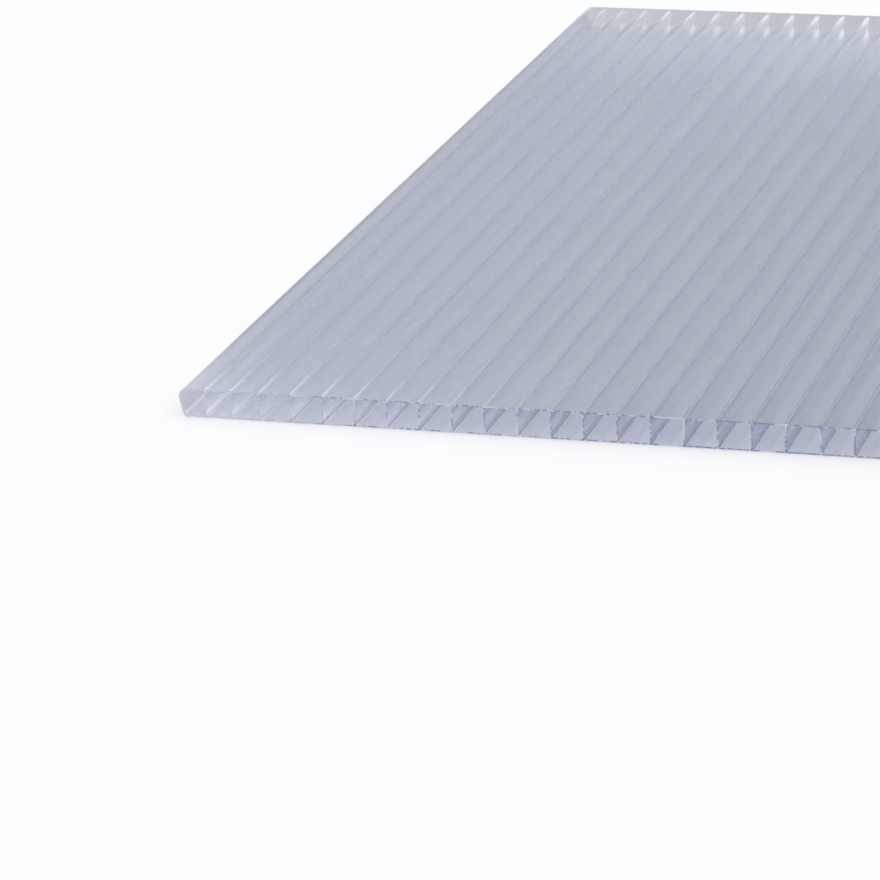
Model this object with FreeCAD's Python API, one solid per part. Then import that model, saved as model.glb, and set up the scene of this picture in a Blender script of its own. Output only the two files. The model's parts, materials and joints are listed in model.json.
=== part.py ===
"""Twin-wall polycarbonate sheet, 10 mm thick: a 700 mm wide extrusion cut to 540 mm along its flutes.

The sheet is one extruded piece. Two thin skins are held apart by upright webs, and the hollow flutes
between the webs run the whole length and are open at both cut ends. The two long edges are closed by a
side wall that leans in a little towards the bottom, with a round shoulder and foot. The first few flutes
beside each edge are narrower than the rest.

Frame: X runs across the flutes, Y along them, Z up. The origin is the middle of the bottom face.
Lengths are in millimetres.
"""

import FreeCAD
import Part
import math
import os

# Overall sizes
sheet_width = 700.0
sheet_length = 540.0
sheet_thickness = 10.0

# Wall thicknesses
skin_thickness = 0.5
web_thickness = 0.45
side_wall_thickness = 0.8

# Spacing of the webs. The edge flute is measured from the outside of the sheet to its first web, the
# next three from web to web. The flutes between share what is left evenly, close to web_pitch.
web_pitch = 11.3
edge_flute_width = 9.4
second_flute_width = 9.1
third_flute_width = 10.1
fourth_flute_width = 11.0

# Rounding of the section
root_fillet_radius = 0.4
shoulder_radius = 3.0
foot_radius = 1.0

# How far the foot of a side wall stands in from its shoulder
side_wall_lean = 1.5


def unit(x, z):
    """A direction in the section's plane, with a length of one."""
    return FreeCAD.Vector(x, 0, z).normalize()


def lines_cross(point_a, along_a, point_b, along_b):
    """The point where two straight lines of the section meet."""
    gap = point_b - point_a
    turn = along_a.x * along_b.z - along_a.z * along_b.x
    reach = (gap.x * along_b.z - gap.z * along_b.x) / turn
    return point_a + along_a * reach


def rounded_loop(corners, radii):
    """A closed wire through the corners, with each corner rounded by its own tangent arc."""
    bends = []
    for i, corner in enumerate(corners):
        to_last = (corners[i - 1] - corner).normalize()
        to_next = (corners[(i + 1) % len(corners)] - corner).normalize()
        half_angle = to_last.getAngle(to_next) / 2
        tangent_reach = radii[i] / math.tan(half_angle)
        to_centre = (to_last + to_next).normalize()
        crown_reach = radii[i] / math.sin(half_angle) - radii[i]
        start = corner + to_last * tangent_reach
        crown = corner + to_centre * crown_reach
        end = corner + to_next * tangent_reach
        bends.append((start, crown, end))
    edges = []
    for i, (start, crown, end) in enumerate(bends):
        edges.append(Part.Arc(start, crown, end).toShape())
        edges.append(Part.LineSegment(end, bends[(i + 1) % len(bends)][0]).toShape())
    return Part.Wire(edges)


def side_wall_line():
    """The outer line of the left side wall: a point on it, and its upward direction.

    It touches the circle of the shoulder, whose leftmost point is the side of the sheet, and the
    circle of the foot, which stands in from it by the lean.
    """
    shoulder = FreeCAD.Vector(-sheet_width / 2 + shoulder_radius, 0, sheet_thickness - shoulder_radius)
    foot = FreeCAD.Vector(-sheet_width / 2 + side_wall_lean + foot_radius, 0, foot_radius)
    rise = shoulder - foot
    between_centres = math.atan2(rise.z, rise.x)
    opening = math.asin((shoulder_radius - foot_radius) / rise.Length)
    along = unit(math.cos(between_centres + opening), math.sin(between_centres + opening))
    outward = unit(-along.z, along.x)
    return foot + outward * foot_radius, along


def web_positions():
    """The middle of every web across the sheet, from left to right."""
    margin = [edge_flute_width, second_flute_width, third_flute_width, fourth_flute_width]
    left = []
    x = -sheet_width / 2
    for flute_width in margin:
        x += flute_width
        left.append(x)
    inner_width = -2 * left[-1]
    inner_flutes = max(1, round(inner_width / web_pitch))
    even_pitch = inner_width / inner_flutes
    inner = [left[-1] + even_pitch * i for i in range(1, inner_flutes)]
    return left + inner + [-x for x in reversed(left)]


def outline():
    """The outer loop of the section, anticlockwise from the lower left corner."""
    on_wall, up_wall = side_wall_line()
    across = unit(1, 0)
    foot = lines_cross(on_wall, up_wall, FreeCAD.Vector(0, 0, 0), across)
    shoulder = lines_cross(on_wall, up_wall, FreeCAD.Vector(0, 0, sheet_thickness), across)
    corners = [
        foot,
        FreeCAD.Vector(-foot.x, 0, foot.z),
        FreeCAD.Vector(-shoulder.x, 0, shoulder.z),
        shoulder,
    ]
    return rounded_loop(corners, [foot_radius, foot_radius, shoulder_radius, shoulder_radius])


def edge_flute(first_web, side):
    """The hollow beside a side wall. side is -1 for the left edge of the sheet and 1 for the right."""
    on_wall, up_wall = side_wall_line()
    inward = unit(up_wall.z, -up_wall.x)
    on_wall = on_wall + inward * side_wall_thickness
    across = unit(1, 0)
    floor = skin_thickness
    ceiling = sheet_thickness - skin_thickness
    foot = lines_cross(on_wall, up_wall, FreeCAD.Vector(0, 0, floor), across)
    shoulder = lines_cross(on_wall, up_wall, FreeCAD.Vector(0, 0, ceiling), across)
    web_face = -abs(first_web) - web_thickness / 2
    corners = [foot, FreeCAD.Vector(web_face, 0, floor), FreeCAD.Vector(web_face, 0, ceiling), shoulder]
    corners = [FreeCAD.Vector(-side * corner.x, 0, corner.z) for corner in corners]
    foot_inside = max(root_fillet_radius, foot_radius - skin_thickness)
    shoulder_inside = max(root_fillet_radius, shoulder_radius - skin_thickness)
    return rounded_loop(corners, [foot_inside, root_fillet_radius, root_fillet_radius, shoulder_inside])


def flute(left_web, right_web):
    """The hollow between two webs."""
    low_x = left_web + web_thickness / 2
    high_x = right_web - web_thickness / 2
    floor = skin_thickness
    ceiling = sheet_thickness - skin_thickness
    corners = [
        FreeCAD.Vector(low_x, 0, floor),
        FreeCAD.Vector(high_x, 0, floor),
        FreeCAD.Vector(high_x, 0, ceiling),
        FreeCAD.Vector(low_x, 0, ceiling),
    ]
    return rounded_loop(corners, [root_fillet_radius] * 4)


def twinwall_sheet():
    """The whole sheet: its section, swept along the flutes."""
    webs = web_positions()
    loops = [outline(), edge_flute(webs[0], -1)]
    loops += [flute(left_web, right_web) for left_web, right_web in zip(webs, webs[1:])]
    loops.append(edge_flute(webs[-1], 1))
    section = Part.makeFace(loops, "Part::FaceMakerBullseye")
    section.translate(FreeCAD.Vector(0, -sheet_length / 2, 0))
    return section.extrude(FreeCAD.Vector(0, sheet_length, 0))


os.makedirs("parts", exist_ok=True)
twinwall_sheet().exportStep("parts/twinwall_sheet.step")
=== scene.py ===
"""Looks of a clear twin-wall polycarbonate sheet: the extruded sheet, its sawn ends and a plain studio.

The sheet is one closed surface worked out with numpy. Its section is a row of cells, one for each flute, and
is swept along the flutes. Lengths are in metres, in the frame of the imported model: X across the flutes, Y
along them, Z up, with the origin in the middle of the bottom face.
"""

import json
import math

import bpy
import numpy as np
from mathutils import Matrix, Vector

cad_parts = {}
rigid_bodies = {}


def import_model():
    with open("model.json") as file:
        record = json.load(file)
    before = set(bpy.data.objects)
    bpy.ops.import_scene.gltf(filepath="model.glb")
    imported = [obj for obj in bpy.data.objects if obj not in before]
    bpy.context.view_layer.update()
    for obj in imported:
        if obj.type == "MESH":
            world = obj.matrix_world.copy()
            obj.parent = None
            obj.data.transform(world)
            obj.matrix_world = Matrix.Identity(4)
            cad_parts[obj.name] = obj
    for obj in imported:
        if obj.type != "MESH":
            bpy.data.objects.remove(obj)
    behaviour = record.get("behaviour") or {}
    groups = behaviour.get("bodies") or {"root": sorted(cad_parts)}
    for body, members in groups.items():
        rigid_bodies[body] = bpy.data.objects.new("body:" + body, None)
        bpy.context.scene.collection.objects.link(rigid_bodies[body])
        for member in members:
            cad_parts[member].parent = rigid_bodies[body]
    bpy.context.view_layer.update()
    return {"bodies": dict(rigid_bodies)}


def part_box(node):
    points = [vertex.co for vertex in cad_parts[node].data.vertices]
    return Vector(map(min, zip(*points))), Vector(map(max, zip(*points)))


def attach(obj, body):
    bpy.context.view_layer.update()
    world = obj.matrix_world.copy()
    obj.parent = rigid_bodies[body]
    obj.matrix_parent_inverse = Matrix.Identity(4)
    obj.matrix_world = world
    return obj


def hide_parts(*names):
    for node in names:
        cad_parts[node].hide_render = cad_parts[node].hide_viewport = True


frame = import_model()
sheet_low, sheet_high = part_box("twinwall_sheet")

bl_info = {
    "name": "Twin-wall sheet",
    "version": (1, 0, 0),
    "blender": (4, 5, 0),
    "location": "3D View > Sidebar > Twin-wall sheet",
    "description": "Builds a clear extruded twin-wall sheet with its finish, on a plain studio floor",
    "category": "Object",
}


class SheetSizes(bpy.types.PropertyGroup):
    """The section of the sheet and the small waves that extrusion leaves in it."""

    web_pitch: bpy.props.FloatProperty(
        name="Web pitch", description="Usual distance from web to web", default=0.0113, unit="LENGTH")
    edge_flute_width: bpy.props.FloatProperty(
        name="Edge flute", description="From the outside of the sheet to the first web", default=0.0094,
        unit="LENGTH")
    second_flute_width: bpy.props.FloatProperty(
        name="Second flute", description="From the first web to the second", default=0.0091, unit="LENGTH")
    third_flute_width: bpy.props.FloatProperty(
        name="Third flute", description="From the second web to the third", default=0.0101, unit="LENGTH")
    fourth_flute_width: bpy.props.FloatProperty(
        name="Fourth flute", description="From the third web to the fourth", default=0.011, unit="LENGTH")
    skin_thickness: bpy.props.FloatProperty(
        name="Skin", description="Thickness of the two skins", default=0.0005, unit="LENGTH")
    web_thickness: bpy.props.FloatProperty(
        name="Web", description="Thickness of a web", default=0.00045, unit="LENGTH")
    side_wall_thickness: bpy.props.FloatProperty(
        name="Side wall", description="Thickness of the wall that closes a long edge", default=0.0008,
        unit="LENGTH")
    root_fillet_radius: bpy.props.FloatProperty(
        name="Root fillet", description="Fillet where a web meets a skin", default=0.0004, unit="LENGTH")
    shoulder_radius: bpy.props.FloatProperty(
        name="Shoulder", description="Outer radius at the top of a long edge", default=0.003, unit="LENGTH")
    foot_radius: bpy.props.FloatProperty(
        name="Foot", description="Outer radius at the bottom of a long edge", default=0.001, unit="LENGTH")
    side_wall_lean: bpy.props.FloatProperty(
        name="Lean", description="How far a side wall's foot stands in from its shoulder", default=0.0015,
        unit="LENGTH")
    skin_sag: bpy.props.FloatProperty(
        name="Skin sag", description="How far a skin dips between two webs", default=0.00005, unit="LENGTH")
    web_wander: bpy.props.FloatProperty(
        name="Web wander", description="How far a web strays sideways along its length", default=0.00012,
        unit="LENGTH")
    wander_length: bpy.props.FloatProperty(
        name="Wander length", description="Length of one such stray", default=0.16, unit="LENGTH")
    root_spread: bpy.props.FloatProperty(
        name="Root spread", description="How much root fillets and webs differ, as a share of their size",
        default=0.3, min=0, max=0.5, subtype="FACTOR")
    side_root_share: bpy.props.FloatProperty(
        name="Side root share", description="Upper root fillets beside a long edge, as a share of the usual",
        default=0.45, min=0.3, max=1, subtype="FACTOR")
    burr_count: bpy.props.IntProperty(
        name="Burrs", description="Number of burrs on each sawn end", default=110, min=1)
    burr_length: bpy.props.FloatProperty(
        name="Burr length", description="Length of the longest burrs", default=0.0009, unit="LENGTH")
    dust_count: bpy.props.IntProperty(
        name="Dust specks", description="Number of specks just under the top face", default=40, min=1)
    dust_size: bpy.props.FloatProperty(
        name="Dust size", description="Width of the largest specks", default=0.0010, unit="LENGTH")
    stations: bpy.props.IntProperty(
        name="Stations", description="Sections along the length of the sheet", default=34, min=2)


class SheetFinish(bpy.types.PropertyGroup):
    """Colours and surface of the polycarbonate, with its painted shade and its painted light."""

    clear_tint: bpy.props.FloatVectorProperty(
        name="Clear tint", description="What one wall lets through", subtype="COLOR", size=3, min=0, max=1,
        default=(0.84, 0.853, 0.895))
    # Painted shade: a darker tint for the webs beside the near end, towards the middle of the sheet
    web_shade_tint: bpy.props.FloatVectorProperty(
        name="Web tint", description="What a face of a web lets through, in the middle of the sheet",
        subtype="COLOR", size=3, min=0, max=1, default=(0.76, 0.765, 0.85))
    pale_web_tint: bpy.props.FloatVectorProperty(
        name="Pale web tint", description="What a face of a web lets through, towards the far long edges",
        subtype="COLOR", size=3, min=0, max=1, default=(0.95, 0.955, 0.965))
    # Painted shade: a darker tint for the top face towards the far long edges
    coat_shade_tint: bpy.props.FloatVectorProperty(
        name="Coat tint", description="What the top face lets through, towards the far long edges",
        subtype="COLOR", size=3, min=0, max=1, default=(0.76, 0.785, 0.86))
    # Painted shade: a dark tint for the top face beside the far end
    far_shade_tint: bpy.props.FloatVectorProperty(
        name="Far tint", description="What the top face lets through at its far end", subtype="COLOR",
        size=3, min=0, max=1, default=(0.365, 0.38, 0.42))
    # Painted light: an emission colour that stands in for light led in by the cut ends
    painted_end_glow: bpy.props.FloatVectorProperty(
        name="End glow", description="Light that a cut end leads into its webs", subtype="COLOR", size=3,
        min=0, max=1, default=(0.205, 0.20, 0.19))
    edge_tint: bpy.props.FloatVectorProperty(
        name="Edge tint", description="What the thicker side wall lets through", subtype="COLOR", size=3,
        min=0, max=1, default=(0.60, 0.61, 0.685))
    depth_tint: bpy.props.FloatVectorProperty(
        name="Depth tint", description="Colour that light keeps inside the plastic", subtype="COLOR", size=3,
        min=0, max=1, default=(0.0, 0.04, 0.56))
    depth_density: bpy.props.FloatProperty(
        name="Depth density", description="How fast the plastic takes light away, per metre", default=10.0,
        min=0)
    cut_tint: bpy.props.FloatVectorProperty(
        name="Cut tint", description="Colour of a cleanly sawn end", subtype="COLOR", size=3, min=0, max=1,
        default=(0.23, 0.235, 0.40))
    # Real torn spots of a sawn end, also used for its painted light towards the long edges
    nick_and_painted_pale_tint: bpy.props.FloatVectorProperty(
        name="Nick tint", description="Colour of the torn spots of a sawn end", subtype="COLOR", size=3,
        min=0, max=1, default=(0.60, 0.61, 0.71))
    cut_glow: bpy.props.FloatVectorProperty(
        name="Cut glow", description="What a sawn end lets in from outside", subtype="COLOR", size=3, min=0,
        max=1, default=(0.9, 0.92, 0.95))
    cut_roughness: bpy.props.FloatProperty(
        name="Cut roughness", description="Roughness of a sawn end", default=0.5, min=0, max=1,
        subtype="FACTOR")
    burr_tint: bpy.props.FloatVectorProperty(
        name="Burr tint", description="Colour of the burrs and the dust", subtype="COLOR", size=3, min=0,
        max=1, default=(0.80, 0.81, 0.87))
    grain_shade: bpy.props.FloatProperty(
        name="Grain shade", description="Darker parts of burrs and dust, as a share of their colour",
        default=0.75, min=0, max=1, subtype="FACTOR")
    grain_roughness: bpy.props.FloatProperty(
        name="Grain roughness", description="Roughness of burrs and dust", default=0.4, min=0, max=1,
        subtype="FACTOR")
    coat_roughness: bpy.props.FloatProperty(
        name="Coat roughness", description="Haze of the weather coat on the top skin", default=0.2, min=0,
        max=1, subtype="FACTOR")
    end_roughness: bpy.props.FloatProperty(
        name="End roughness", description="Haze of the coat beside the far end", default=0.08, min=0, max=1,
        subtype="FACTOR")
    refractive_index: bpy.props.FloatProperty(
        name="IOR", description="Refractive index of polycarbonate", default=1.58, min=1)


class StudioSettings(bpy.types.PropertyGroup):
    """The floor, the light and the camera."""

    floor_colour: bpy.props.FloatVectorProperty(
        name="Floor", description="Colour of the floor", subtype="COLOR", size=3, min=0, max=1,
        default=(0.92, 0.92, 0.93))
    floor_roughness: bpy.props.FloatProperty(
        name="Floor roughness", description="Roughness of the floor", default=0.9, min=0, max=1,
        subtype="FACTOR")
    overhead_colour: bpy.props.FloatVectorProperty(
        name="Overhead", description="Light from above", subtype="COLOR", size=3, min=0, max=4,
        default=(1.33, 1.32, 1.305))
    backdrop_colour: bpy.props.FloatVectorProperty(
        name="Backdrop", description="Light from low down, which the skins mirror", subtype="COLOR", size=3,
        min=0, max=4, default=(0.83, 0.88, 0.90))
    side_shade: bpy.props.FloatProperty(
        name="Side shade", description="How much of the light is left on the right-hand side", default=0.57,
        min=0, max=1, subtype="FACTOR")
    camera_aim: bpy.props.FloatVectorProperty(
        name="Aim", description="The point that the camera looks at", subtype="TRANSLATION", size=3,
        default=(-0.24743, -0.30484, 0.010))
    camera_distance: bpy.props.FloatProperty(
        name="Distance", description="From the camera to its aim", default=1.37075, unit="LENGTH")
    camera_azimuth: bpy.props.FloatProperty(
        name="Azimuth", description="Turn of the view to the left of +Y", default=math.radians(17.346),
        unit="ROTATION")
    camera_elevation: bpy.props.FloatProperty(
        name="Elevation", description="How steeply the camera looks down", default=math.radians(19.44),
        unit="ROTATION")
    camera_roll: bpy.props.FloatProperty(
        name="Roll", description="Turn of the camera about its own axis", default=math.radians(-2.37),
        unit="ROTATION")
    camera_lens: bpy.props.FloatProperty(
        name="Lens", description="Focal length for a 36 mm wide square image, in millimetres",
        default=173.68, unit="CAMERA")


def from_side(start, end):
    """A band of |X| by its distances from the long edges."""
    return sheet_high.x - start, sheet_high.x - end


def from_near_end(start, end):
    """A band of Y by its distances from the near end."""
    return sheet_low.y + start, sheet_low.y + end


def from_far_end(start, end):
    """A band of Y by its distances from the far end."""
    return sheet_high.y - start, sheet_high.y - end


def under_top(start, end):
    """A band of Z by its depths under the top face."""
    return sheet_high.z - start, sheet_high.z - end


BODY = next(iter(frame["bodies"]))

# Steps round a fillet, and along the floor, the right wall, the roof and the left wall of a flute
FILLET_STEPS = 4
SKIN_STEPS = 4
WALL_STEPS = 2
FLUTE_STEPS = (SKIN_STEPS, WALL_STEPS, SKIN_STEPS, WALL_STEPS)

# Shading breaks at edges sharper than this, and points closer together than this are one
SHARP_ANGLE = math.radians(40)
SAME_PLACE = 1e-9
SAME_PLACE_DIGITS = 8

# The upper root fillets start to shrink at this |X|. Webs differ by a share of what the fillets differ by
ROOT_TAPER_START = 0.17
WEB_SPREAD_SHARE = 0.5

# A slow wave is a sum of sines with these weights, each stretched at random. One varies the dips by a share
WAVE_WEIGHTS = (0.5, 0.3, 0.2)
WAVE_STRETCH = (0.6, 1.6)
DIP_WAVE_SHARE = 0.5
DIP_WAVE_LENGTH = 0.30

# Seeds of the random draws
SECTION_SEED = 11
WANDER_SEED = 7
BURR_SEED = 23
DUST_SEED = 41

# Burrs: how often on the floor, the roof, the left and the right web, their sizes as shares of the longest,
# their place as a share of the wall, and their tilt off it
BURR_WALL_ODDS = (0.4, 0.3, 0.15, 0.15)
BURR_ALONG = (0.25, 1.0)
BURR_OFF = (0.04, 0.12)
BURR_DEEP = (0.05, 0.2)
BURR_PLACE = (0.12, 0.88)
BURR_TILT = 0.25

# Dust: least distance from the edges, half the thickness, and widths as shares of the largest
DUST_MARGIN = 0.01
DUST_HALF_DEPTH = 0.00003
DUST_SPREAD = (0.4, 1.0)

# Bands of the finish: each effect starts at a band's first place and is full at its second. The far side is
# read where |X| plus its slant times Y lies in its band
TOP_COAT = under_top(0.0004, 0.0002)
OFF_ROOF = under_top(0.0006, 0.0010)
OFF_FLOOR = (0.0006, 0.0010)
SAWN = from_far_end(0.00002, 0.00001)
ON_SIDE_WALL = from_side(0.0038, 0.0026)
OFF_SIDE_WALL = from_side(0.0026, 0.0038)
SMOOTHER_COAT = from_far_end(0.060, 0.036)
# Painted shade: band of the top face beside the far end
FAR_COAT_SHADE = from_far_end(0.062, 0.024)
# Painted shade of the top face: none at the near end, full from 40 mm in
COAT_SHADE_FROM_NEAR_END = from_near_end(0.0, 0.040)
# Painted shade: where the webs beside the near end, and towards the middle of the sheet, are darker
NEAR_WEB_SHADE = from_near_end(0.040, 0.028)
WEB_SHADE_FADE = (0.20, 0.33)
FAR_SIDE_SLANT = 0.25
FAR_SIDE = (0.20, 0.32)
# Painted light: band towards the long edges where a sawn end is painted pale all over
PAINTED_PALE_CUT = (0.295, 0.335)

# Painted glow of the cut ends, as emission: heights on a web, parts of the width, parts of the length, and
# each patch's strength
ABOVE_LOWER_SKIN = (0.00052, 0.00058)
LOW_ON_WEB = (0.0034, 0.0020)
HIGH_ON_WEB = (0.0042, 0.0066)
WEB_FOOT = (0.0022, 0.0006)
UP_TO_ROOT = (0.0084, 0.0091)
BELOW_UPPER_SKIN = (0.00948, 0.00942)
SIDE_FOOT_HEIGHT = (0.0020, 0.0012)
SIDE_FOOT_FLOOR = (0.0003, 0.00052)
SIDE_FOOT = from_side(0.0036, 0.0030)
TOWARDS_MIDDLE = (0.40, 0.24)
TOWARDS_SIDES = (0.19, 0.30)
BESIDE_SIDES = (0.25, 0.345)
STREAK_LENGTH = from_far_end(0.026, 0.002)
DOT_LENGTH = from_far_end(0.012, 0.007)
FAR_ROOT_LENGTH = (-0.30, 0.25)
NEAR_ROOT_LENGTH = from_near_end(0.090, 0.020)
NEAR_WEB_LENGTH = from_near_end(0.028, 0.004)
SIDE_FOOT_LENGTH = from_near_end(0.060, 0.030)
NEAR_FOOT_LENGTH = from_near_end(0.036, 0.028)
STREAK_GLOW = 1.4
DOT_GLOW = 1.45
FAR_ROOT_GLOW = 0.25
NEAR_ROOT_GLOW = 0.35
NEAR_WEB_GLOW = 0.16
SIDE_FOOT_GLOW = 0.5
NEAR_FOOT_GLOW = 0.3

# Speckles: scales of the noise, levels between which a spot goes from absent to full, the haze's stretch and
# contrast, and how much more of a sawn end is painted pale per metre of |X|, which is painted light
FINE_SCALE = 900.0
LONG_SCALE = 110.0
GRAIN_SCALE = 2500.0
GRAIN_LEVELS = (0.35, 0.65)
STREAK_LEVELS = (0.35, 0.65)
STREAK_STRETCH = (1.0, 0.004, 1.0)
STREAK_CONTRAST = 0.1
FINE_NICKS = (0.59, 0.70)
LONG_NICKS = (0.62, 0.66)
PAINTED_PALE_LIFT = 0.6
SPECKLE_NAME = "plastic_speckle"
SPECKLE_INPUTS = {
    "Place": "NodeSocketVector",
    "Stretch": "NodeSocketVector",
    "Scale": "NodeSocketFloat",
    "Lift": "NodeSocketFloat",
    "Start": "NodeSocketFloat",
    "End": "NodeSocketFloat",
}
MIX_TYPES = {"Color": "RGBA", "Float": "FLOAT"}

# The studio: directions in which the dome changes, the floor, the camera and the paths of light
SHADED_SIDE = (-0.36, -0.12)
OVERHEAD = (0.45, 0.75)
FLOOR_REACH = 30.0
FLOOR_LEVEL = -0.0003
FLOOR_SIGNS = ((-1, -1), (1, -1), (1, 1), (-1, 1))
SENSOR_WIDTH = 36.0
CLIP_START = 0.1
CLIP_END = 100.0
LIGHT_BOUNCES = 64


def eased(steps):
    """Fractions from 0 to 1, closer towards both ends: half of one minus the cosine of an even turn."""
    return (1 - np.cos(np.linspace(0, np.pi, steps + 1))) / 2


def rounded_loops(corners, radii):
    """Closed loops of points through rounded corners, for many loops at once.

    corners is (loops, 4, 2), anticlockwise from the lower left. At each corner an arc touches both sides:
    its centre lies on the line that halves the corner, radius over the sine of the half angle away. Between
    two arcs a straight side is divided into its number of steps.
    """
    last = np.roll(corners, 1, axis=1)
    following = np.roll(corners, -1, axis=1)
    to_last = last - corners
    to_last /= np.linalg.norm(to_last, axis=2, keepdims=True)
    to_next = following - corners
    to_next /= np.linalg.norm(to_next, axis=2, keepdims=True)
    half = np.arccos(np.clip((to_last * to_next).sum(axis=2), -1, 1)) / 2
    to_centre = to_last + to_next
    to_centre /= np.linalg.norm(to_centre, axis=2, keepdims=True)
    centre = corners + to_centre * (radii / np.sin(half))[..., None]
    reach = (radii / np.tan(half))[..., None]
    start = corners + to_last * reach
    end = corners + to_next * reach
    turn = np.pi - 2 * half
    out = start - centre
    parts = []
    for corner, steps in enumerate(FLUTE_STEPS):
        angle = turn[:, corner, None] * np.linspace(0, 1, FILLET_STEPS + 1)
        x = out[:, corner, 0, None]
        z = out[:, corner, 1, None]
        turned_x = x * np.cos(angle) - z * np.sin(angle)
        turned_z = x * np.sin(angle) + z * np.cos(angle)
        parts.append(np.stack([turned_x, turned_z], axis=2) + centre[:, corner, None])
        along = eased(steps)[1:-1, None]
        after = start[:, (corner + 1) % len(FLUTE_STEPS), None]
        parts.append(end[:, corner, None] * (1 - along) + after * along)
    return np.concatenate(parts, axis=1)


def web_centres(sizes, width):
    """The middle of every web, from left to right: four narrower flutes at each edge, even ones between."""
    margin = [
        sizes.edge_flute_width,
        sizes.second_flute_width,
        sizes.third_flute_width,
        sizes.fourth_flute_width,
    ]
    left = -width / 2 + np.cumsum(margin)
    inner_flutes = max(1, round(-2 * left[-1] / sizes.web_pitch))
    inner = np.linspace(left[-1], -left[-1], inner_flutes + 1)[1:-1]
    return np.concatenate([left, inner, -left[::-1]])


def side_wall_line(sizes, width, height):
    """A point on the left side wall's outer line and its upward direction, touching both edge circles."""
    shoulder = np.array([-width / 2 + sizes.shoulder_radius, height - sizes.shoulder_radius])
    foot = np.array([-width / 2 + sizes.side_wall_lean + sizes.foot_radius, sizes.foot_radius])
    rise = shoulder - foot
    opening = math.asin((sizes.shoulder_radius - sizes.foot_radius) / np.hypot(*rise))
    angle = math.atan2(rise[1], rise[0]) + opening
    along = np.array([math.cos(angle), math.sin(angle)])
    return foot + np.array([-along[1], along[0]]) * sizes.foot_radius, along


def edge_cell(sizes, width, height, first_web):
    """The flute beside the left side wall and the ring of outline and web round it, as two loops."""
    on_wall, along = side_wall_line(sizes, width, height)
    inward = np.array([along[1], -along[0]])

    def corners(point, floor, ceiling, right):
        low = point[0] + along[0] / along[1] * (floor - point[1])
        high = point[0] + along[0] / along[1] * (ceiling - point[1])
        return np.array([[[low, floor], [right, floor], [right, ceiling], [high, ceiling]]])

    skin = sizes.skin_thickness
    fillet = sizes.root_fillet_radius
    web_face = first_web - sizes.web_thickness / 2
    inside = corners(on_wall + inward * sizes.side_wall_thickness, skin, height - skin, web_face)
    outside = corners(on_wall, 0.0, height, first_web)
    foot = max(fillet, sizes.foot_radius - skin)
    shoulder = max(fillet, sizes.shoulder_radius - skin)
    inner_radii = np.array([[foot, fillet, fillet * sizes.side_root_share, shoulder]])
    outer_radii = np.array([[sizes.foot_radius, fillet, fillet, sizes.shoulder_radius]])
    loop = rounded_loops(inside, inner_radii)
    outer = rounded_loops(outside, outer_radii)
    ring = ring_round(loop, first_web, first_web, height)
    count = loop.shape[1]
    index = np.arange(count)
    on_side_wall = (index <= FILLET_STEPS) | (index >= count - WALL_STEPS - FILLET_STEPS)
    ring[0, on_side_wall] = outer[0, on_side_wall]
    return loop, ring


def ring_round(loop, left, right, height):
    """The rim of a cell: each point of its flute moved straight out to the web's middle or the skin's face.

    Each side of the rim goes from the middle of one fillet to the middle of the next. The middle points
    belong to two sides and so end in the corners.
    """
    count = loop.shape[1]
    middles = np.cumsum([FILLET_STEPS // 2] + [FILLET_STEPS + steps for steps in FLUTE_STEPS])
    bottom, right_side, top, left_side = [
        np.arange(start, end + 1) % count for start, end in zip(middles, middles[1:])]
    ring = loop.copy()
    ring[:, bottom, 1] = 0.0
    ring[:, top, 1] = height
    ring[:, right_side, 0] = np.broadcast_to(right, (len(loop),))[:, None]
    ring[:, left_side, 0] = np.broadcast_to(left, (len(loop),))[:, None]
    return ring


def section_cells(sizes, width, height):
    """All cells of the section, from left to right: flute loops, their rings, and where one cell ends.

    Webs and root fillets differ at random, and the upper fillets shrink evenly towards the long edges. The
    right edge mirrors the left one.
    """
    webs = web_centres(sizes, width)
    left = webs[:-1]
    right = webs[1:]
    rng = np.random.default_rng(SECTION_SEED)
    differing = rng.uniform(-WEB_SPREAD_SHARE, WEB_SPREAD_SHARE, len(webs)) * sizes.root_spread
    half_webs = sizes.web_thickness / 2 * (1 + differing)
    half_webs[[0, -1]] = sizes.web_thickness / 2
    low = left + half_webs[:-1]
    high = right - half_webs[1:]
    floor = np.full_like(low, sizes.skin_thickness)
    ceiling = height - floor
    corners = np.stack([
        np.stack([low, floor], 1), np.stack([high, floor], 1),
        np.stack([high, ceiling], 1), np.stack([low, ceiling], 1)], axis=1)
    roots = sizes.root_fillet_radius * (1 + rng.uniform(-1, 1, (len(webs), 2)) * sizes.root_spread)
    towards_side = np.clip((np.abs(webs) - ROOT_TAPER_START) / (width / 2 - ROOT_TAPER_START), 0, 1)
    roots[:, 1] *= 1 - towards_side * (1 - sizes.side_root_share)
    roots[[0, -1], 0] = sizes.root_fillet_radius
    roots[[0, -1], 1] = sizes.root_fillet_radius * sizes.side_root_share
    radii = np.stack([roots[:-1, 0], roots[1:, 0], roots[1:, 1], roots[:-1, 1]], axis=1)
    loops = rounded_loops(corners, radii)
    rings = ring_round(loops, left, right, height)
    edge_loop, edge_ring = edge_cell(sizes, width, height, webs[0])
    mirror = np.array([-1.0, 1.0])
    loops = np.concatenate([edge_loop, loops, edge_loop[:, ::-1] * mirror])
    rings = np.concatenate([edge_ring, rings, edge_ring[:, ::-1] * mirror])
    bounds = np.concatenate([[-width / 2], webs, [width / 2]])
    return loops, rings, bounds


def slow_wave(rng, count, y, wavelength):
    """For each of count strands, a weighted sum of sines along y with random phases, from about -1 to 1."""
    sines = (count, len(WAVE_WEIGHTS), 1)
    phase = rng.uniform(0, 2 * np.pi, sines)
    stretch = rng.uniform(*WAVE_STRETCH, sines)
    weight = np.array(WAVE_WEIGHTS)[None, :, None]
    return (weight * np.sin(2 * np.pi * y[None, None] / wavelength * stretch + phase)).sum(axis=1)


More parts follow.
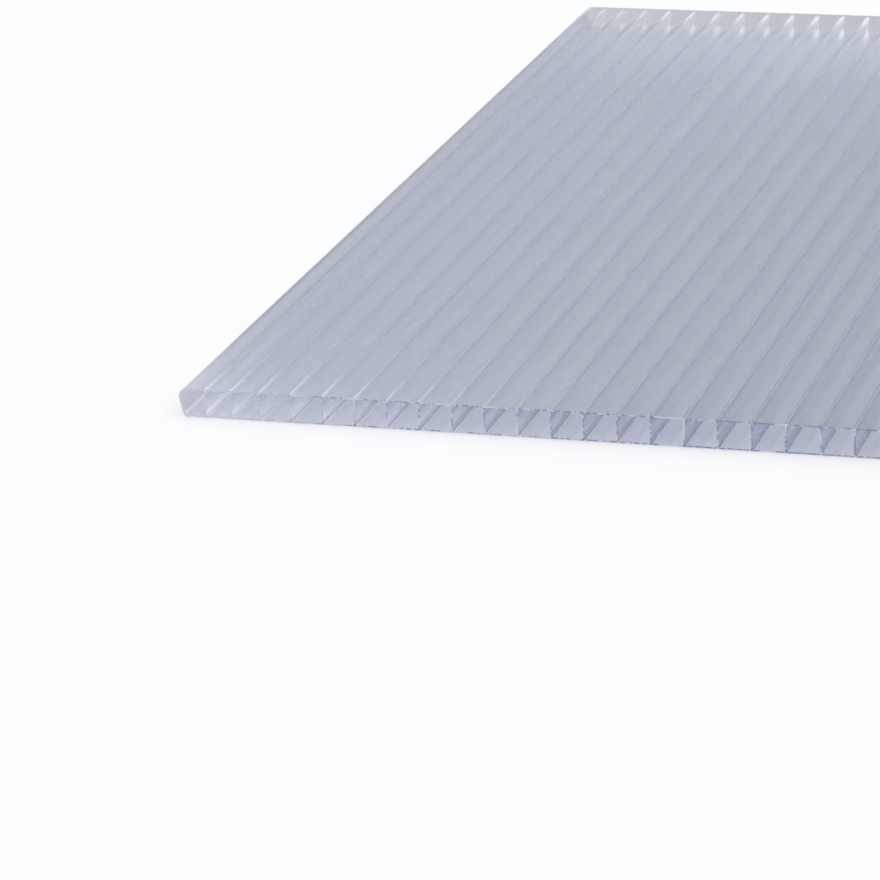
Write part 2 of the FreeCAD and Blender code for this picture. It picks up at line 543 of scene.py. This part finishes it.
def sheet_mesh(sizes, low, high):
    """The closed surface of the sheet.

    Every loop and ring point is swept along Y. A skin dips between its webs by the square of the sine of its
    place across the flute. A web strays sideways by one slow wave along Y and bows by another, which is
    weighted by four times its height share times the rest. Quads join neighbours on a loop or on the outline
    from station to station, and flute to ring at both ends.
    """
    width = high.x - low.x
    height = high.z - low.z
    loops, rings, bounds = section_cells(sizes, width, height)
    cells, around = loops.shape[:2]
    rng = np.random.default_rng(WANDER_SEED)
    y = np.linspace(low.y, high.y, sizes.stations)
    stray = slow_wave(rng, cells + 1, y, sizes.wander_length) * sizes.web_wander
    bow = slow_wave(rng, cells + 1, y, sizes.wander_length) * sizes.web_wander
    stray[[0, -1]] = 0
    bow[[0, -1]] = 0
    dip = (1 + DIP_WAVE_SHARE * slow_wave(rng, cells, y, DIP_WAVE_LENGTH)) * sizes.skin_sag
    starts = bounds[:-1, None]
    spans = np.diff(bounds)[:, None]

    def swept(points):
        """Section points at every station, with the dips of the skins and the strays of the webs."""
        across = (points[..., 0] - starts) / spans
        up = points[..., 1] / height
        bulge = 4 * up * (1 - up)
        left = stray[:-1, None] + bow[:-1, None] * bulge[..., None]
        right = stray[1:, None] + bow[1:, None] * bulge[..., None]
        x = points[..., 0, None] + left * (1 - across[..., None]) + right * across[..., None]
        fall = (np.sin(np.pi * across) ** 2 * (2 * up - 1))[..., None] * dip[:, None]
        z = points[..., 1, None] - fall
        return np.stack([x, np.broadcast_to(y, x.shape), z], axis=-1)

    places = np.concatenate([swept(loops).reshape(-1, len(y), 3), swept(rings).reshape(-1, len(y), 3)])
    flat = np.round(np.concatenate([loops.reshape(-1, 2), rings.reshape(-1, 2)]), SAME_PLACE_DIGITS)
    _, first, same = np.unique(flat, axis=0, return_index=True, return_inverse=True)
    places = places[first]
    same = same.reshape(2, cells, around)
    ahead = np.roll(same, -1, axis=2)
    ring_x = rings[..., 0]
    on_outline = ~np.isclose(ring_x, np.roll(ring_x, -1, axis=1), rtol=0, atol=SAME_PLACE)
    station = np.arange(len(y) - 1)[:, None]
    count = len(first)

    def quads(a, b, flipped):
        """Faces between neighbouring points a and b of the section, from each station to the next."""
        a = a.ravel()[None] + station * count
        b = b.ravel()[None] + station * count
        order = [a, b, b + count, a + count]
        return np.stack(order[::-1] if flipped else order, axis=-1).reshape(-1, 4)

    flutes = quads(same[0], ahead[0], False)
    outline = quads(same[1][on_outline], ahead[1][on_outline], True)
    near = np.stack([same[0], same[1], ahead[1], ahead[0]], axis=-1).reshape(-1, 4)
    far = near[:, ::-1] + (len(y) - 1) * count
    faces = np.concatenate([flutes, outline, near, far])
    coordinates = places.transpose(1, 0, 2).reshape(-1, 3)
    used, faces = np.unique(faces, return_inverse=True)
    faces = faces.reshape(-1, 4)
    mesh = bpy.data.meshes.new("twinwall_sheet_surface")
    mesh.from_pydata(coordinates[used].tolist(), [], faces.tolist())
    mesh.shade_smooth()
    mesh.set_sharp_from_angle(angle=SHARP_ANGLE)
    mesh.update()
    return mesh


def burr_mesh(sizes, low, high):
    """Small shreds of plastic on the inner edges of both sawn ends, inside the ends' planes.

    Each shred has one half axis along its wall, one off it and one along the sheet. The walls are the floor
    and the roof of a flute and its two webs.
    """
    rng = np.random.default_rng(BURR_SEED)
    webs = web_centres(sizes, high.x - low.x)
    count = 2 * sizes.burr_count
    flute = rng.integers(0, len(webs) - 1, count)
    on_floor, on_roof, on_left, on_right = range(len(BURR_WALL_ODDS))
    wall = rng.choice(len(BURR_WALL_ODDS), count, p=BURR_WALL_ODDS)
    along = rng.uniform(*BURR_ALONG, count) ** 2 * sizes.burr_length / 2
    off = rng.uniform(*BURR_OFF, count) * sizes.burr_length
    deep = rng.uniform(*BURR_DEEP, count) * sizes.burr_length
    place = rng.uniform(*BURR_PLACE, count)
    left = webs[flute] + sizes.web_thickness / 2
    right = webs[flute + 1] - sizes.web_thickness / 2
    floor = low.z + sizes.skin_thickness
    roof = high.z - sizes.skin_thickness
    level = (wall == on_floor) | (wall == on_roof)
    x = np.select([wall == on_left, wall == on_right], [left + off / 2, right - off / 2],
                  left + place * (right - left))
    z = np.select([wall == on_floor, wall == on_roof], [floor + off / 2, roof - off / 2],
                  floor + place * (roof - floor))
    end = np.repeat([-1.0, 1.0], sizes.burr_count)
    y = np.where(end < 0, low.y + deep, high.y - deep)
    centres = np.stack([x, y, z], axis=1)
    tilt = rng.uniform(-BURR_TILT, BURR_TILT, count)
    wall_way = np.stack([np.where(level, 1.0, tilt), np.zeros(count), np.where(level, tilt, 1.0)], axis=1)
    off_way = np.stack([-wall_way[:, 2], np.zeros(count), wall_way[:, 0]], axis=1)
    length_way = np.tile([0.0, 1.0, 0.0], (count, 1))
    arms = np.stack([wall_way * along[:, None], off_way * off[:, None], length_way * deep[:, None]], axis=1)
    return grain_mesh("saw_burr_grains", centres, arms)


def dust_mesh(sizes, low, high):
    """Flat specks scattered at random under the top face, a tenth of a millimetre deep at most."""
    rng = np.random.default_rng(DUST_SEED)
    count = sizes.dust_count
    x = rng.uniform(low.x + DUST_MARGIN, high.x - DUST_MARGIN, count)
    y = rng.uniform(low.y + DUST_MARGIN, high.y - DUST_MARGIN, count)
    centres = np.stack([x, y, np.full(count, high.z - 2 * DUST_HALF_DEPTH)], axis=1)
    reach = rng.uniform(*DUST_SPREAD, (count, 2)) * sizes.dust_size / 2
    turn = rng.uniform(0, np.pi, count)
    arms = np.zeros((count, 3, 3))
    arms[:, 0, 0] = np.cos(turn) * reach[:, 0]
    arms[:, 0, 1] = np.sin(turn) * reach[:, 0]
    arms[:, 1, 0] = -np.sin(turn) * reach[:, 1]
    arms[:, 1, 1] = np.cos(turn) * reach[:, 1]
    arms[:, 2, 2] = DUST_HALF_DEPTH
    return grain_mesh("dust_grains", centres, arms)


def grain_mesh(name, centres, arms):
    """Closed octahedra, each a centre plus or minus three half axes, with their faces turned outwards."""
    tips = np.array([[1, 0, 0], [-1, 0, 0], [0, 1, 0], [0, -1, 0], [0, 0, 1], [0, 0, -1]], dtype=float)
    places = (centres[:, None] + np.einsum("tk,nkc->ntc", tips, arms)).reshape(-1, 3)
    corner = np.array([
        [0, 2, 4], [2, 1, 4], [1, 3, 4], [3, 0, 4],
        [2, 0, 5], [1, 2, 5], [3, 1, 5], [0, 3, 5]])
    faces = (np.arange(len(centres))[:, None, None] * len(tips) + corner).reshape(-1, 3)
    handed = np.einsum("nc,nc->n", np.cross(arms[:, 0], arms[:, 1]), arms[:, 2]) < 0
    turned = np.repeat(handed, len(corner))
    faces[turned] = faces[turned][:, ::-1]
    mesh = bpy.data.meshes.new(name)
    mesh.from_pydata(places.tolist(), [], faces.tolist())
    mesh.update()
    return mesh


class Wiring:
    """The nodes of a material, a world or a group, with short ways to add and feed the ones used here."""

    def __init__(self, tree):
        self.tree = tree
        tree.nodes.clear()

    def add(self, kind, **settings):
        """A new node of a kind, with its settings."""
        node = self.tree.nodes.new(kind)
        for name, value in settings.items():
            setattr(node, name, value)
        return node

    def feed(self, entry, value):
        """An input that takes another node's output, a number, a vector or a colour."""
        if isinstance(value, bpy.types.NodeSocket):
            self.tree.links.new(value, entry)
        elif entry.type == "RGBA":
            entry.default_value = (*value, 1)
        else:
            entry.default_value = value

    def maths(self, operation, *values):
        """A number worked out from others."""
        node = self.add("ShaderNodeMath", operation=operation)
        for entry, value in zip(node.inputs, values):
            self.feed(entry, value)
        return node.outputs["Value"]

    def times(self, first, second):
        """The product of two numbers."""
        return self.maths("MULTIPLY", first, second)

    def ramp(self, value, band, span=(0.0, 1.0)):
        """The first number of a span up to where a band starts, the second from its end on, even between."""
        node = self.add("ShaderNodeMapRange")
        self.feed(node.inputs["Value"], value)
        for name, number in zip(("From Min", "From Max", "To Min", "To Max"), (*band, *span)):
            self.feed(node.inputs[name], number)
        return node.outputs["Result"]

    def mix(self, kind, factor, first, second):
        """A Color or a Float: the first one where the factor is 0, and the second where it is 1."""
        node = self.add("ShaderNodeMix", data_type=MIX_TYPES[kind], clamp_factor=False)
        entries = {entry.identifier: entry for entry in node.inputs}
        self.feed(entries["Factor_Float"], factor)
        self.feed(entries["A_" + kind], first)
        self.feed(entries["B_" + kind], second)
        return next(result for result in node.outputs if result.identifier == "Result_" + kind)

    def join(self, factor, first, second):
        """The first of two shaders where the factor is 0, and the second where it is 1."""
        node = self.add("ShaderNodeMixShader")
        for entry, value in zip(node.inputs, (factor, first, second)):
            self.feed(entry, value)
        return node.outputs["Shader"]

    def speckle(self, place, scale, band, stretch=(1.0, 1.0, 1.0), lift=0.0):
        """A mask of uneven spots, by the group that every material shares."""
        node = self.add("ShaderNodeGroup", node_tree=speckle_group())
        for name, value in zip(SPECKLE_INPUTS, (place, stretch, scale, lift, *band)):
            self.feed(node.inputs[name], value)
        return node.outputs["Mask"]


def speckle_group():
    """Uneven spots as a shader node group, built once.

    Noise over a place, with its own stretch along each axis, is raised by a lift. The mask is 0 where the
    sum is below the start level, 1 above the end level, and goes evenly from one to the other between.
    """
    group = bpy.data.node_groups.get(SPECKLE_NAME)
    if group:
        return group
    group = bpy.data.node_groups.new(SPECKLE_NAME, "ShaderNodeTree")
    for name, kind in SPECKLE_INPUTS.items():
        group.interface.new_socket(name, in_out="INPUT", socket_type=kind)
    group.interface.new_socket("Mask", in_out="OUTPUT", socket_type="NodeSocketFloat")
    wires = Wiring(group)
    given = wires.add("NodeGroupInput").outputs
    mapping = wires.add("ShaderNodeMapping")
    wires.feed(mapping.inputs["Vector"], given["Place"])
    wires.feed(mapping.inputs["Scale"], given["Stretch"])
    noise = wires.add("ShaderNodeTexNoise")
    wires.feed(noise.inputs["Vector"], mapping.outputs["Vector"])
    wires.feed(noise.inputs["Scale"], given["Scale"])
    wires.feed(noise.inputs["Detail"], 0.0)
    lifted = wires.maths("ADD", noise.outputs["Fac"], given["Lift"])
    spots = wires.ramp(lifted, (given["Start"], given["End"]))
    wires.feed(wires.add("NodeGroupOutput").inputs["Mask"], spots)
    return group


def new_material(name):
    """An empty node material, as (material, its wiring, its output node)."""
    material = bpy.data.materials.new(name)
    material.use_nodes = True
    wires = Wiring(material.node_tree)
    return material, wires, wires.add("ShaderNodeOutputMaterial")


class Spot:
    """A point of the clear plastic, as outputs of nodes.

    Of its place in Object coordinates, across is |X|, along is Y and up is Z. Masks say whether it is on the
    top face, clear of the lower and of the upper skin, and seen from inside the plastic.
    """

    def __init__(self, wires):
        self.place = wires.add("ShaderNodeTexCoord").outputs["Object"]
        split = wires.add("ShaderNodeSeparateXYZ")
        wires.feed(split.inputs["Vector"], self.place)
        self.across = wires.maths("ABSOLUTE", split.outputs["X"])
        self.along = split.outputs["Y"]
        self.up = split.outputs["Z"]
        self.on_top = wires.ramp(self.up, TOP_COAT)
        self.off_floor = wires.ramp(self.up, OFF_FLOOR)
        self.off_roof = wires.ramp(self.up, OFF_ROOF)
        self.inside = wires.add("ShaderNodeNewGeometry").outputs["Backfacing"]


def painted_end_light(wires, spot):
    """How strongly each place shows painted light: emission for the glow of the cut ends, the sum of seven
    patches.

    Each patch is its strength times three masks: a height on the web, a part of the width and a part of the
    length. At the far end each web has a painted streak on its upper half and a painted dot near its foot,
    and the roots under the top skin are painted a little lighter, all more so towards the middle of the
    sheet. At the near end the webs towards the long edges have painted glow, most at their roots and feet,
    and so does a side wall's foot.
    """
    off_side = wires.ramp(spot.across, OFF_SIDE_WALL)
    on_web = wires.times(wires.times(spot.off_floor, spot.off_roof), off_side)
    on_foot = wires.times(wires.ramp(spot.up, ABOVE_LOWER_SKIN), off_side)
    low = wires.times(wires.ramp(spot.up, LOW_ON_WEB), on_foot)
    high = wires.times(on_web, wires.ramp(spot.up, HIGH_ON_WEB))
    root = wires.times(wires.ramp(spot.up, UP_TO_ROOT), wires.ramp(spot.up, BELOW_UPPER_SKIN))
    foot = wires.times(wires.ramp(spot.up, WEB_FOOT), on_foot)
    side_foot = wires.times(wires.ramp(spot.up, SIDE_FOOT_HEIGHT), wires.ramp(spot.across, SIDE_FOOT))
    side_foot_floor = wires.ramp(spot.up, SIDE_FOOT_FLOOR)
    inner = wires.ramp(spot.across, TOWARDS_MIDDLE)
    outer = wires.ramp(spot.across, TOWARDS_SIDES)
    outermost = wires.ramp(spot.across, BESIDE_SIDES)
    patches = [
        (STREAK_GLOW, high, inner, STREAK_LENGTH),
        (DOT_GLOW, low, inner, DOT_LENGTH),
        (FAR_ROOT_GLOW, root, inner, FAR_ROOT_LENGTH),
        (NEAR_ROOT_GLOW, root, outer, NEAR_ROOT_LENGTH),
        (NEAR_WEB_GLOW, on_web, outer, NEAR_WEB_LENGTH),
        (SIDE_FOOT_GLOW, side_foot, side_foot_floor, SIDE_FOOT_LENGTH),
        (NEAR_FOOT_GLOW, foot, outermost, NEAR_FOOT_LENGTH),
    ]
    total = 0.0
    for strength, height, side, length in patches:
        patch = wires.times(wires.times(height, side), wires.ramp(spot.along, length))
        total = wires.maths("MULTIPLY_ADD", patch, strength, total)
    return total


def coat_haze(wires, spot, finish):
    """Roughness of the clear plastic: streaks of haze on the top face, fainter beside the far end."""
    streaks = wires.speckle(spot.place, FINE_SCALE, STREAK_LEVELS, stretch=STREAK_STRETCH)
    share = (1 - STREAK_CONTRAST, 1 + STREAK_CONTRAST)
    streaked = wires.ramp(streaks, (0.0, 1.0), [finish.coat_roughness * part for part in share])
    smoother = wires.ramp(spot.along, SMOOTHER_COAT)
    return wires.times(spot.on_top, wires.mix("Float", smoother, streaked, finish.end_roughness))


def wall_tint_and_painted_shade(wires, spot, finish):
    """What each wall of the clear plastic lets through, with painted shade.

    The webs have painted shade beside the near end, towards the middle of the sheet, and are paler towards
    the far part of each long edge, where the top face has painted shade. Beside the far end the top face has
    darker painted shade still, seen from outside. A side wall has one tint.
    """
    clear = finish.clear_tint
    # Painted shade: darker webs towards the middle of the sheet, fading out towards the long edges
    shaded_near_webs = wires.mix("Color", wires.ramp(spot.across, WEB_SHADE_FADE), finish.web_shade_tint, clear)
    slanted = wires.maths("MULTIPLY_ADD", spot.along, FAR_SIDE_SLANT, spot.across)
    far_side = wires.ramp(slanted, FAR_SIDE)
    far_webs = wires.mix("Color", far_side, clear, finish.pale_web_tint)
    # Painted shade on the webs only beside the near end
    webs = wires.mix("Color", wires.ramp(spot.along, NEAR_WEB_SHADE), far_webs, shaded_near_webs)
    lower_walls = wires.mix("Color", spot.off_floor, clear, webs)
    # Painted shade: the top face darker towards the far part of each long edge, away from the near end
    coat_shade = wires.times(far_side, wires.ramp(spot.along, COAT_SHADE_FROM_NEAR_END))
    coat = wires.mix("Color", coat_shade, clear, finish.coat_shade_tint)
    upper_skin = wires.mix("Color", spot.on_top, clear, coat)
    walls = wires.mix("Color", spot.off_roof, upper_skin, lower_walls)
    # Painted shade: the top face much darker beside the far end, seen from outside only
    far_shade_mask = wires.times(wires.ramp(spot.along, FAR_COAT_SHADE), spot.on_top)
    far_shade_from_outside = wires.mix("Float", spot.inside, far_shade_mask, 0.0)
    walls = wires.mix("Color", far_shade_from_outside, walls, finish.far_shade_tint)
    return wires.mix("Color", wires.ramp(spot.across, ON_SIDE_WALL), walls, finish.edge_tint)


def sawn_end(wires, spot, finish):
    """Sawn end: violet, pale torn spots, painted light towards the long edges, and from inside the light it
    lets in.
    """
    # Painted light: towards the long edges the cut is painted paler; the random nicks are real wear
    painted_paleness = wires.times(spot.across, PAINTED_PALE_LIFT)
    fine = wires.speckle(spot.place, FINE_SCALE, FINE_NICKS, lift=painted_paleness)
    long_nicks = wires.speckle(spot.place, LONG_SCALE, LONG_NICKS)
    nicks = wires.maths("MAXIMUM", fine, long_nicks)
    torn = wires.maths("MAXIMUM", nicks, wires.ramp(spot.across, PAINTED_PALE_CUT))
    frost = wires.add("ShaderNodeBsdfPrincipled")
    wires.feed(frost.inputs["Base Color"], wires.mix("Color", torn, finish.cut_tint, finish.nick_and_painted_pale_tint))
    wires.feed(frost.inputs["Roughness"], finish.cut_roughness)
    glow = wires.add("ShaderNodeBsdfTranslucent")
    wires.feed(glow.inputs["Color"], finish.cut_glow)
    return wires.join(spot.inside, frost.outputs["BSDF"], glow.outputs["BSDF"])


def clear_polycarbonate(finish):
    """Clear plastic with a tint in its depth, as one material, since light inside it must meet no other.

    By Object coordinates, its top face has the slight haze of a weather coat, its walls have their own
    tints with painted shade on the top face and the webs, its webs have painted light as emission beside the
    cut ends, and its ends are sawn.
    """
    material, wires, output = new_material("clear_polycarbonate_finish")
    spot = Spot(wires)
    shader = wires.add("ShaderNodeBsdfPrincipled")
    wires.feed(shader.inputs["Roughness"], coat_haze(wires, spot, finish))
    wires.feed(shader.inputs["Base Color"], wall_tint_and_painted_shade(wires, spot, finish))
    # Painted light: emission on the webs beside the cut ends, no lamp
    glow = wires.mix("Color", painted_end_light(wires, spot), (0, 0, 0), finish.painted_end_glow)
    wires.feed(shader.inputs["Emission Color"], glow)
    wires.feed(shader.inputs["Emission Strength"], 1.0)
    material.cycles.emission_sampling = "NONE"
    wires.feed(shader.inputs["IOR"], finish.refractive_index)
    wires.feed(shader.inputs["Transmission Weight"], 1.0)
    on_cut = wires.ramp(wires.maths("ABSOLUTE", spot.along), SAWN)
    whole = wires.join(on_cut, shader.outputs["BSDF"], sawn_end(wires, spot, finish))
    wires.feed(output.inputs["Surface"], whole)
    volume = wires.add("ShaderNodeVolumeAbsorption")
    wires.feed(volume.inputs["Color"], finish.depth_tint)
    wires.feed(volume.inputs["Density"], finish.depth_density)
    wires.feed(output.inputs["Volume"], volume.outputs["Volume"])
    return material


def pale_grain(name, finish):
    """Torn, whitened plastic or dust, a little uneven."""
    material, wires, output = new_material(name)
    place = wires.add("ShaderNodeTexCoord").outputs["Object"]
    patchy = wires.speckle(place, GRAIN_SCALE, GRAIN_LEVELS)
    darker = [channel * finish.grain_shade for channel in finish.burr_tint]
    shader = wires.add("ShaderNodeBsdfPrincipled")
    wires.feed(shader.inputs["Base Color"], wires.mix("Color", patchy, darker, finish.burr_tint))
    wires.feed(shader.inputs["Roughness"], finish.grain_roughness)
    wires.feed(output.inputs["Surface"], shader.outputs["BSDF"])
    return material


def floor_finish(studio):
    """The floor's one pale matt colour."""
    material, wires, output = new_material("studio_floor")
    shader = wires.add("ShaderNodeBsdfPrincipled")
    wires.feed(shader.inputs["Base Color"], studio.floor_colour)
    wires.feed(shader.inputs["Roughness"], studio.floor_roughness)
    wires.feed(shader.inputs["Specular IOR Level"], 0.0)
    wires.feed(output.inputs["Surface"], shader.outputs["BSDF"])
    return material


def studio_floor(studio):
    """The floor, one large square just under the sheet."""
    corners = [(x * FLOOR_REACH, y * FLOOR_REACH, FLOOR_LEVEL) for x, y in FLOOR_SIGNS]
    mesh = bpy.data.meshes.new("studio_floor")
    mesh.from_pydata(corners, [], [(0, 1, 2, 3)])
    mesh.materials.append(floor_finish(studio))
    return bpy.data.objects.new("studio_floor", mesh)


def studio_camera(studio):
    """The camera, at its distance from its aim, against the direction that azimuth and elevation give."""
    camera = bpy.data.objects.new("studio_camera", bpy.data.cameras.new("studio_camera"))
    camera.data.sensor_width = SENSOR_WIDTH
    camera.data.lens = studio.camera_lens
    camera.data.clip_start = CLIP_START
    camera.data.clip_end = CLIP_END
    azimuth = studio.camera_azimuth
    elevation = studio.camera_elevation
    level = math.cos(elevation)
    forward = Vector((-math.sin(azimuth) * level, math.cos(azimuth) * level, -math.sin(elevation)))
    turn = forward.to_track_quat("-Z", "Y").to_matrix() @ Matrix.Rotation(studio.camera_roll, 3, "Z")
    place = Vector(studio.camera_aim) - forward * studio.camera_distance
    camera.matrix_world = Matrix.Translation(place) @ turn.to_4x4()
    return camera


def studio_world(studio):
    """A dome that is bright overhead, and low down grey-blue and darker to the right, by each direction."""
    world = bpy.data.worlds.new("studio_dome")
    world.use_nodes = True
    wires = Wiring(world.node_tree)
    output = wires.add("ShaderNodeOutputWorld")
    background = wires.add("ShaderNodeBackground")
    split = wires.add("ShaderNodeSeparateXYZ")
    wires.feed(split.inputs["Vector"], wires.add("ShaderNodeTexCoord").outputs["Generated"])
    to_right = wires.ramp(split.outputs["X"], SHADED_SIDE)
    shaded = [channel * studio.side_shade for channel in studio.backdrop_colour]
    backdrop = wires.mix("Color", to_right, studio.backdrop_colour, shaded)
    height = wires.ramp(split.outputs["Z"], OVERHEAD)
    dome = wires.mix("Color", height, backdrop, studio.overhead_colour)
    wires.feed(background.inputs["Color"], dome)
    wires.feed(output.inputs["Surface"], background.outputs["Background"])
    world.cycles.sampling_method = "NONE"
    return world


class SHEET_OT_add_sheet(bpy.types.Operator):
    """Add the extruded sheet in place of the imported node"""

    bl_idname = "sheet.add_sheet"
    bl_label = "Add twin-wall sheet"

    def execute(self, context):
        scene = context.scene
        mesh = sheet_mesh(scene.sheet_sizes, sheet_low, sheet_high)
        mesh.materials.append(clear_polycarbonate(scene.sheet_finish))
        piece = bpy.data.objects.new("twinwall_sheet_body", mesh)
        scene.collection.objects.link(piece)
        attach(piece, BODY)
        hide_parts("twinwall_sheet")
        return {"FINISHED"}


class SHEET_OT_add_burrs(bpy.types.Operator):
    """Add the burrs that the saw leaves on both cut ends"""

    bl_idname = "sheet.add_burrs"
    bl_label = "Add saw burrs"

    def execute(self, context):
        scene = context.scene
        mesh = burr_mesh(scene.sheet_sizes, sheet_low, sheet_high)
        mesh.materials.append(pale_grain("burr_plastic", scene.sheet_finish))
        piece = bpy.data.objects.new("saw_burrs", mesh)
        scene.collection.objects.link(piece)
        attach(piece, BODY)
        return {"FINISHED"}


class SHEET_OT_add_dust(bpy.types.Operator):
    """Add a few specks of dust caught in the coat of the top skin"""

    bl_idname = "sheet.add_dust"
    bl_label = "Add dust specks"

    def execute(self, context):
        scene = context.scene
        mesh = dust_mesh(scene.sheet_sizes, sheet_low, sheet_high)
        mesh.materials.append(pale_grain("dust_grain", scene.sheet_finish))
        piece = bpy.data.objects.new("dust_specks", mesh)
        scene.collection.objects.link(piece)
        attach(piece, BODY)
        return {"FINISHED"}


class SHEET_OT_add_studio(bpy.types.Operator):
    """Add the floor, the light and the camera"""

    bl_idname = "sheet.add_studio"
    bl_label = "Add studio"

    def execute(self, context):
        scene = context.scene
        floor = studio_floor(scene.sheet_studio)
        scene.collection.objects.link(floor)
        scene.world = studio_world(scene.sheet_studio)
        camera = studio_camera(scene.sheet_studio)
        scene.collection.objects.link(camera)
        scene.camera = camera
        scene.view_settings.view_transform = "Standard"
        scene.cycles.max_bounces = LIGHT_BOUNCES
        scene.cycles.transmission_bounces = LIGHT_BOUNCES
        scene.cycles.glossy_bounces = LIGHT_BOUNCES
        scene.cycles.blur_glossy = 0.0
        return {"FINISHED"}


class SHEET_PT_sidebar(bpy.types.Panel):
    """The sheet's operators in the 3D view's sidebar"""

    bl_idname = "SHEET_PT_sidebar"
    bl_label = "Twin-wall sheet"
    bl_space_type = "VIEW_3D"
    bl_region_type = "UI"
    bl_category = "Twin-wall sheet"

    def draw(self, context):
        self.layout.operator(SHEET_OT_add_sheet.bl_idname)
        self.layout.operator(SHEET_OT_add_burrs.bl_idname)
        self.layout.operator(SHEET_OT_add_dust.bl_idname)
        self.layout.operator(SHEET_OT_add_studio.bl_idname)


CLASSES = (
    SheetSizes,
    SheetFinish,
    StudioSettings,
    SHEET_OT_add_sheet,
    SHEET_OT_add_burrs,
    SHEET_OT_add_dust,
    SHEET_OT_add_studio,
    SHEET_PT_sidebar,
)


def register():
    """Make the classes and their settings known."""
    for cls in CLASSES:
        bpy.utils.register_class(cls)
    bpy.types.Scene.sheet_sizes = bpy.props.PointerProperty(type=SheetSizes)
    bpy.types.Scene.sheet_finish = bpy.props.PointerProperty(type=SheetFinish)
    bpy.types.Scene.sheet_studio = bpy.props.PointerProperty(type=StudioSettings)


def unregister():
    """Take the settings and the classes away again."""
    del bpy.types.Scene.sheet_studio
    del bpy.types.Scene.sheet_finish
    del bpy.types.Scene.sheet_sizes
    for cls in reversed(CLASSES):
        bpy.utils.unregister_class(cls)


def main():
    """Build the studio and the sheet."""
    register()
    bpy.ops.sheet.add_studio()
    bpy.ops.sheet.add_sheet()
    bpy.ops.sheet.add_burrs()
    bpy.ops.sheet.add_dust()


if __name__ == "__main__":
    main()
